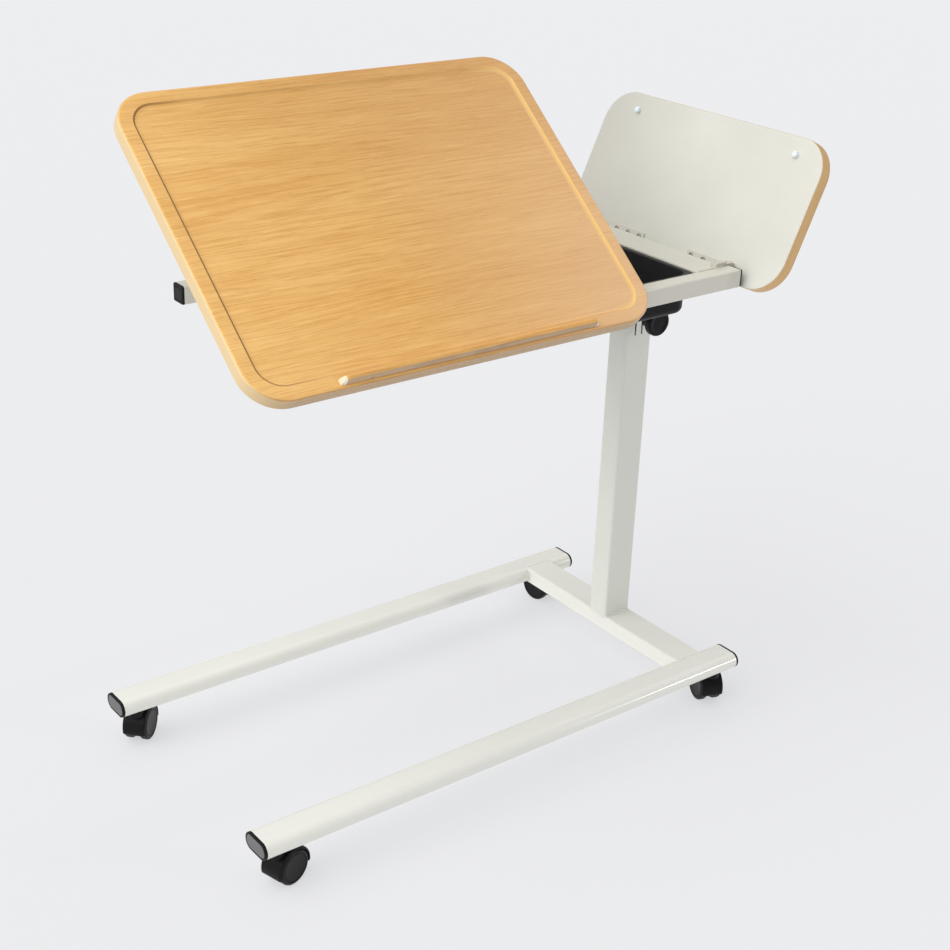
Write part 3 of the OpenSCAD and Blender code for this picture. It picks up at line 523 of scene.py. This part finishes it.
low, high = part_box("tray")
hx, hy = (high.x - low.x) / 2, (high.y - low.y) / 2
wall, rim_out, rim_t, rim_corner, foot, corner = 2.5 * MM, 4 * MM, 3 * MM, 11 * MM, 10 * MM, 22 * MM
under, top, lip = 0.5 * MM, 1.2 * MM, 1.5 * MM      # how far the rim's edges are rounded
bx, by, inner = hx - rim_out, hy - rim_out, foot - wall
# up the outside, over the rim and down the inside
rings = [(bx - foot + x, by - foot + x, corner - foot + x, low.z + foot + z)
         for x, z in arc(0, 0, foot, -90, 0, 8)]
rings += [(bx, by, corner, high.z - rim_t), (hx - under, hy - under, rim_corner, high.z - rim_t),
          (hx, hy, rim_corner, high.z - rim_t + under)]
rings += [(hx - top + x, hy - top + x, rim_corner - top + x, high.z - top + z)
          for x, z in arc(0, 0, top, 0, 90, 4)]
rings += [(bx - wall + lip - x, by - wall + lip - x, corner - wall + lip - x, high.z - lip + z)
          for x, z in arc(0, 0, lip, 90, 0, 4)]
rings += [(bx - wall - inner + x, by - wall - inner + x, corner - foot + x, low.z + foot + z)
          for x, z in arc(0, 0, inner, 0, -90, 8)]
# Outside bands take the black plastic; inside bands take the lighter black that is painted light.
outside = 18
bands = [0] * outside + [1] * (len(rings) + 1 - outside)
piece("tray_tub", loft(rings, 12, middle(low, high).xy, bands), IDENTITY, "carriage",
      [BLACK, TRAY_INSIDE_PAINTED_LIGHT], ["tray"])


# ---------- caps on the tube ends ----------

def end_cap(name, low, high, outward, body, node, corner, inset, panel):
    """Plate with a soft edge and a shallow panel in a groove, facing along X."""
    t = high.x - low.x
    hy, hz = (high.y - low.y) / 2, (high.z - low.z) / 2
    place = Matrix.Translation(((low.x if outward > 0 else high.x), middle(low, high).y, middle(low, high).z))
    place @= Matrix.Rotation(radians(90 * outward), 4, "Y") @ Matrix.Rotation(radians(90), 4, "Z")
    soft, sharpest = min(1.2 * MM, t * 0.45), 0.4 * MM
    groove, depth, raised, slant = 0.9 * MM, 0.7 * MM, 0.1 * MM, 0.3 * MM
    rings = [(hy, hz, corner, 0), (hy, hz, corner, t - soft)]
    rings += [(hy - soft + y, hz - soft + y, corner - soft + y, t - soft + z)
              for y, z in arc(0, 0, soft, 0, 90, 4)[1:]]
    for a, z in ((inset, t), (inset + slant, t - depth), (inset + groove, t - depth),
                 (inset + groove + sharpest, t - raised)):
        rings.append((hy - a, hz - a, max(corner - a, sharpest), z))
    bands = [0] * (len(rings) - 1) + [1, 1]
    piece(name, loft(rings, 12, paint_bands=bands), place, body, [BLACK, panel], [node])


def cap_boxes(node, t):
    """Outer plates of a node of end caps: a box and the way it faces, for each tube end."""
    low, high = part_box(node)
    for side in (-1, 1):
        ys = [v.co.y for v in NODES[node].data.vertices if v.co.y * side > 0]
        for outward in (-1, 1):
            x0, x1 = (low.x, low.x + t) if outward < 0 else (high.x - t, high.x)
            yield side, outward, Vector((x0, min(ys), low.z)), Vector((x1, max(ys), high.z))


NEAR_FAR, LEFT_RIGHT = {-1: "near", 1: "far"}, {-1: "left", 1: "right"}
# Leg caps get the grey face that is a painted reflection; frame caps stay black.
for kind, body, thick, corner, inset, panel in (
    ("leg", "base", 4 * MM, 12.49 * MM, 2.2 * MM, CAP_FACE_PAINTED_REFLECTION),
    ("frame", "carriage", 3 * MM, 2.6 * MM, 3 * MM, BLACK),
):
    for side, outward, low, high in cap_boxes(kind + "_caps", thick):
        end_cap(f"{kind}_cap_{NEAR_FAR[side]}_{LEFT_RIGHT[outward]}", low, high, outward, body,
                kind + "_caps", corner, inset, panel)


# ---------- castors ----------

def castor_hood(place, hood, trail, axle_z, wheel_r):
    """Band over the wheels, web between them and neck for the stem, where the wheels trail towards -X."""
    low, high = local_box(hood, place)
    half, r1 = high.y, -trail - low.x
    r0 = wheel_r + 1 * MM
    start, stop, steps = radians(-17), radians(189), 48
    angles = [start + (stop - start) * k / steps for k in range(steps + 1)]
    bm = bmesh.new()
    shoulder, end_step, end_squeeze = 2.4 * MM, 1.2 * MM, 0.976
    outer = arc(half - shoulder, r1 - shoulder, shoulder, 0, 90, 6)
    section = [(half, r0)] + outer + [(-y, r) for y, r in outer[::-1]] + [(-half, r0)]
    loops = []
    for k, a in enumerate(angles):
        step, squeeze = (end_step, end_squeeze) if k in (0, steps) else (0, 1)
        loops.append(new_loop(bm, [(-trail + (r - step * (r > r0)) * cos(a), y * squeeze,
                                    axle_z + (r - step * (r > r0)) * sin(a)) for y, r in section]))
    skin(bm, loops)
    web, hub_r, hub_steps = 6 * MM, 9 * MM, 16
    rim = [(r0 + 0.4 * MM) * Vector((cos(a), sin(a))) for a in angles]
    hub = [hub_r * Vector((cos(a), sin(a))) for a in
           [stop + (2 * pi + start - stop) * k / hub_steps for k in range(1, hub_steps)]]
    skin(bm, [new_loop(bm, [(-trail + p.x, s * web, axle_z + p.y) for p in rim + hub]) for s in (-1, 1)])
    neck, chamfer, bore = 12 * MM, 1 * MM, 5 * MM
    foot = axle_z + sqrt(max(r0 ** 2 - (trail - neck) ** 2, 0)) - 4 * MM
    return lathe([(neck, foot), (neck, high.z - chamfer), (neck - chamfer, high.z), (bore, high.z)], 40, bm)


def castor_wheel(r, w):
    """Tread with soft shoulders and a dished face with a groove and a hub; w is the width."""
    return lathe([(4 * MM, 0), (r - 2 * MM, 0), (r - 0.6 * MM, 0.6 * MM), (r, 2 * MM), (r, w - 3 * MM),
                  (r - 0.7 * MM, w - 1.3 * MM), (r - 2 * MM, w - 0.3 * MM), (r - 3.4 * MM, w),
                  (r - 4.6 * MM, w), (r - 5.0 * MM, w - 0.9 * MM), (r - 5.7 * MM, w - 1.0 * MM),
                  (r - 6.2 * MM, w - 0.4 * MM), (r - 8 * MM, w - 0.5 * MM), (11 * MM, w - 0.9 * MM),
                  (7 * MM, w - 1.0 * MM), (4 * MM, w - 1.0 * MM), (0.5 * MM, w - 1.0 * MM)], 72)


def castor(corner):
    """Hood and both wheels of one castor, turned as its joint stands at rest."""
    stem, axle = Vector(JOINTS["swivel_" + corner]["pos_m"]), Vector(JOINTS[f"spin_{corner}_a"]["pos_m"])
    ahead = Vector((stem.x - axle.x, stem.y - axle.y, 0))
    trail = ahead.length
    place = Matrix.Translation((stem.x, stem.y, 0)) @ Matrix.Rotation(atan2(ahead.y, ahead.x), 4, "Z")
    low, high = local_box(f"wheel_{corner}_b", place)
    wheel_r, hood = (high.z - low.z) / 2, "castor_hood_" + corner
    piece("hood_" + corner, castor_hood(place, hood, trail, axle.z, wheel_r), place, "castor_" + corner,
          [BLACK], [hood], 40)
    for s, side in ((-1, "a"), (1, "b")):
        node = f"wheel_{corner}_{side}"
        low, high = local_box(node, place)
        inner, width = min(abs(low.y), abs(high.y)), abs(high.y - low.y)
        turn = place @ Matrix.Translation((-trail, s * inner, axle.z))
        turn @= Matrix.Rotation(radians(-90 * s), 4, "X")
        piece("castor_" + node, castor_wheel(wheel_r, width), turn, node, [WHEEL], [node], 30)


for name in CORNERS:
    castor(name)


# ---------- clamp knob ----------

low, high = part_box("clamp_knob")
r, depth = (high.x - low.x) / 2, high.y - low.y
hub_r, hub = 12 * MM, 14 * MM
place = Matrix.Translation((middle(low, high).x, high.y, middle(low, high).z))
place @= Matrix.Rotation(radians(90), 4, "X")
profile = [(5 * MM, 0), (hub_r - 0.8 * MM, 0), (hub_r, 0.8 * MM), (hub_r - 0.6 * MM, hub - 3 * MM)]
profile += [(hub_r + 1.2 * MM, hub - 0.6 * MM), (r - 3 * MM, hub)]
profile += [(r - 3 * MM + x, hub + 3 * MM + y) for x, y in arc(0, 0, 3 * MM, -70, 0, 5)]
profile += [(r - 3.5 * MM + x, depth - 3.5 * MM + y) for x, y in arc(0, 0, 3.5 * MM, 0, 90, 7)]
profile += [(r - 5.5 * MM, depth - 0.2 * MM), (r - 7 * MM, depth - 1.1 * MM), (r - 9 * MM, depth - 1.4 * MM),
            (3 * MM, depth - 0.6 * MM), (0.5 * MM, depth - 0.5 * MM)]
piece("knob_turned", lathe(profile, 80), place, "clamp_knob", [BLACK], ["clamp_knob"], 30)


# ---------- screws and bumpers ----------

def islands(node):
    """Points of each loose piece of a node."""
    bm = bmesh.new()
    bm.from_mesh(NODES[node].data)
    bmesh.ops.remove_doubles(bm, verts=bm.verts, dist=1e-6)
    left = set(bm.verts)
    while left:
        seen, queue = set(), [next(iter(sorted(left, key=lambda v: v.index)))]
        while queue:
            v = queue.pop()
            if v in seen:
                continue
            seen.add(v)
            queue += [e.other_vert(v) for e in v.link_edges]
        left -= seen
        yield [v.co.copy() for v in seen]
    bm.free()


STEM = 12 * MM      # how far a screw or a bumper reaches into its board


def heads(node, place):
    """Where each loose piece of a node stands out of its board: a frame that faces down, and the height."""
    inverse = place.inverted()
    for points in islands(node):
        low, high = corners([inverse @ p for p in points])
        height = high.z - low.z - STEM
        at = Matrix.Translation((middle(low, high).x, middle(low, high).y, low.z + height))
        yield at @ Matrix.Rotation(pi, 4, "X"), height


def cross_radii(reach, half, steps):
    """Outline of a cross in polar form: arms of a half width that reach out four times round."""
    radii = []
    for k in range(steps):
        a = (2 * pi * k / steps) % (pi / 2)
        radii.append(min(reach, half / max(sin(min(a, pi / 2 - a)), 1e-3)))
    return radii


def screw_heads(name, node, place, body):
    """Pan heads with a cross recess where the CAD screws are, joined in one piece."""
    bm = bmesh.new()
    r, shank, steps = 4 * MM, 1.75 * MM, 48
    cross = cross_radii(2.5 * MM, 0.6 * MM, steps)
    for at, head in heads(node, place):
        outline = [(shank, -STEM), (shank, 0), (r, 0), (r, head * 0.35), (r - 0.35 * MM, head * 0.72),
                   (r - 1.0 * MM, head * 0.94)]
        rings = [([radius] * steps, h) for radius, h in outline]
        rings += [(cross, head), (cross, head - min(0.9 * MM, head * 0.6))]
        skin(bm, [new_loop(bm, round_points(radii, h, at)) for radii, h in rings])
    piece(name, bm, place, body, [SCREW], [node], 30)


def bumpers(name, node, place, body):
    """Clear domed pads stuck on the underside of a board."""
    bm = bmesh.new()
    r, edge, dome = 5 * MM, 0.3 * MM, 2.2 * MM
    for at, depth in heads(node, place):
        profile = [(r - edge, 0), (r, edge), (r, depth * 0.45)]
        profile += [(r - dome + a, depth * 0.45 + b * depth * 0.25 / MM)
                    for a, b in arc(0, 0, dome, 10, 90, 6)]
        lathe(profile, 40, bm, at)
    piece(name, bm, place, body, [CLEAR], [node], 30)


screw_heads("flap_screw_set", "flap_screws", FLAP, "flap")
screw_heads("main_screw_set", "main_screws", TILT, "main_top")
bumpers("flap_bumper_pads", "flap_bumpers", FLAP, "flap")
bumpers("main_bumper_pads", "main_bumpers", TILT, "main_top")


# ---------- weld beads ----------

def bead(bm, points, r, closed=True):
    """Rippled bead of weld along a line of points."""
    line = []
    pitch, sides = 1.1 * MM, 8
    for a, b in zip(points, points[1:] + points[:1] if closed else points[1:]):
        steps = max(2, round((b - a).length / pitch))
        line += [a.lerp(b, k / steps) for k in range(steps)]
    if not closed:
        line.append(points[-1])
    n = len(line)
    loops = []
    for i, p in enumerate(line):
        ahead = line[(i + 1) % n] if closed or i < n - 1 else p
        back = line[i - 1] if closed or i > 0 else p
        t = (ahead - back).normalized()
        u = Vector((0, 0, 1)).cross(t).normalized() if abs(t.z) < 0.9 else Vector((1, 0, 0))
        w = t.cross(u).normalized()
        rr = r * (1 + 0.14 * sin(i * 1.9) + 0.08 * sin(i * 0.63))
        if not closed and i in (0, n - 1):
            rr *= 0.45
        angles = [2 * pi * k / sides for k in range(sides)]
        loops.append(new_loop(bm, [p + rr * (cos(a) * u + sin(a) * w) for a in angles]))
    if closed:
        loops.append(loops[0])
    skin(bm, loops, caps=not closed)


def rectangle(low, high, axis, at, r):
    """Corner points of a rectangle across an axis, with cut corners."""
    u, v = [i for i in range(3) if i != axis]
    out = []
    for su, sv, first in ((1, 1, 0), (0, 1, 1), (0, 0, 0), (1, 0, 1)):
        cu, cv = (high[u] if su else low[u]), (high[v] if sv else low[v])
        du, dv = (-r if su else r), (-r if sv else r)
        ends = [(cu, cv + dv), (cu + du, cv)]
        for a, b in (ends if not first else ends[::-1]):
            p = Vector((0, 0, 0))
            p[axis], p[u], p[v] = at, a, b
            out.append(p)
    return out


bm = bmesh.new()
low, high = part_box("column_outer")
bead(bm, rectangle(low, high, 2, low.z + 0.4 * MM, 3 * MM), 1.7 * MM)
c_low, c_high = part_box("base_cross")
for side, leg in ((-1, "leg_near"), (1, "leg_far")):
    l_low, l_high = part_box(leg)
    # along the top of the joint, where the flat oval starts to fall away
    y = (l_high.y - 10.5 * MM) if side < 0 else (l_low.y + 10.5 * MM)
    z = l_high.z - 0.6 * MM
    bead(bm, [Vector((c_low.x + 2 * MM, y, z)), Vector((c_high.x - 2 * MM, y, z))], 1.5 * MM, closed=False)
piece("base_welds", bm, IDENTITY, "base", [IVORY], angle=60)

bm = bmesh.new()
for node in ("head_cross", "frame_cross_left", "frame_cross_mid"):
    low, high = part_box(node)
    for y in (low.y + 0.5 * MM, high.y - 0.5 * MM):
        bead(bm, rectangle(low, high, 1, y, 2 * MM), 1.3 * MM)
piece("frame_welds", bm, IDENTITY, "carriage", [IVORY_TOP_PAINTED_SHADE], angle=60)


# ---------- CAD nodes kept, with softened edges ----------

SHARP = ("column_inner", "column_glide")
for name, obj in NODES.items():
    if obj.hide_render:
        continue
    obj.data.materials.clear()
    finish = OF_SLOT[SLOT_OF[name]]
    # The darker ivory copies on the carriage, the flap, the flap lugs and the column are painted shade.
    if finish is IVORY and obj["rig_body"] in ("carriage", "flap"):
        finish = IVORY_TOP_PAINTED_SHADE
    if name.startswith("flap_lug"):
        finish = IVORY_LUG_PAINTED_SHADE
    if finish is IVORY and name.startswith("column"):
        finish = IVORY_COLUMN_PAINTED_SHADE
    obj.data.materials.append(finish)
    weld = obj.modifiers.new("join", "WELD")
    weld.merge_threshold = 1e-6
    planar = obj.modifiers.new("planes", "DECIMATE")
    planar.decimate_type = "DISSOLVE"
    planar.angle_limit = radians(0.5)
    bevel = obj.modifiers.new("soft edges", "BEVEL")
    bevel.width = 0.0 if name in SHARP else 0.4 * MM
    bevel.segments = 2
    bevel.limit_method = "ANGLE"
    bevel.angle_limit = radians(50)
    bevel.use_clamp_overlap = True
    normals = obj.modifiers.new("flat faces", "WEIGHTED_NORMAL")
    normals.keep_sharp = False
    for polygon in obj.data.polygons:
        polygon.use_smooth = True


# ---------- floor, light and camera ----------

FLOOR_HALF = 30
bm = bmesh.new()
bmesh.ops.create_grid(bm, x_segments=1, y_segments=1, size=FLOOR_HALF)
mesh = bpy.data.meshes.new("floor")
bm.to_mesh(mesh)
bm.free()
floor = bpy.data.objects.new("floor", mesh)
bpy.context.scene.collection.objects.link(floor)
s = Shader("studio_floor")
s.finish((0.25, 0.252, 0.26), 0.9, s.bump(s.noise(s.place, 3.0), 0.0001, 0.1), Specular_IOR_Level=0.1,
         Emission_Color=(0.98, 0.985, 1.0), Emission_Strength=0.59)
mesh.materials.append(s.material)

scene = bpy.context.scene
world = bpy.data.worlds.new("studio")
world.use_nodes = True
world.node_tree.nodes["Background"].inputs["Color"].default_value = (0.95, 0.96, 1.0, 1.0)
world.node_tree.nodes["Background"].inputs["Strength"].default_value = 0.40
scene.world = world


def lamp(name, direction, strength, angle, colour=(1, 1, 1)):
    """Soft parallel light that comes from a direction."""
    data = bpy.data.lights.new(name, "SUN")
    data.energy, data.angle, data.color = strength, radians(angle), colour
    obj = bpy.data.objects.new(name, data)
    obj.rotation_euler = Vector(direction).to_track_quat("Z", "Y").to_euler()
    scene.collection.objects.link(obj)


lamp("key", (-0.80, 0.05, 0.90), 1.70, 60, (1.0, 0.985, 0.96))
lamp("fill", (-1.0, -0.15, 0.25), 0.50, 60)
lamp("top", (0.1, 0.3, 1.0), 0.62, 80)
lamp("glint", (0.637, -0.72, 0.25), 0.34, 4)

camera = bpy.data.objects.new("camera", bpy.data.cameras.new("camera"))
camera.location = (-1.28402, -1.67067, 1.35947)
camera.rotation_euler = [radians(a) for a in (65.4178, -1.9629, -37.2049)]
camera.data.lens = 62.216
camera.data.sensor_width = 36
scene.collection.objects.link(camera)
scene.camera = camera
scene.view_settings.view_transform = "Standard"
scene.view_settings.look = "None"
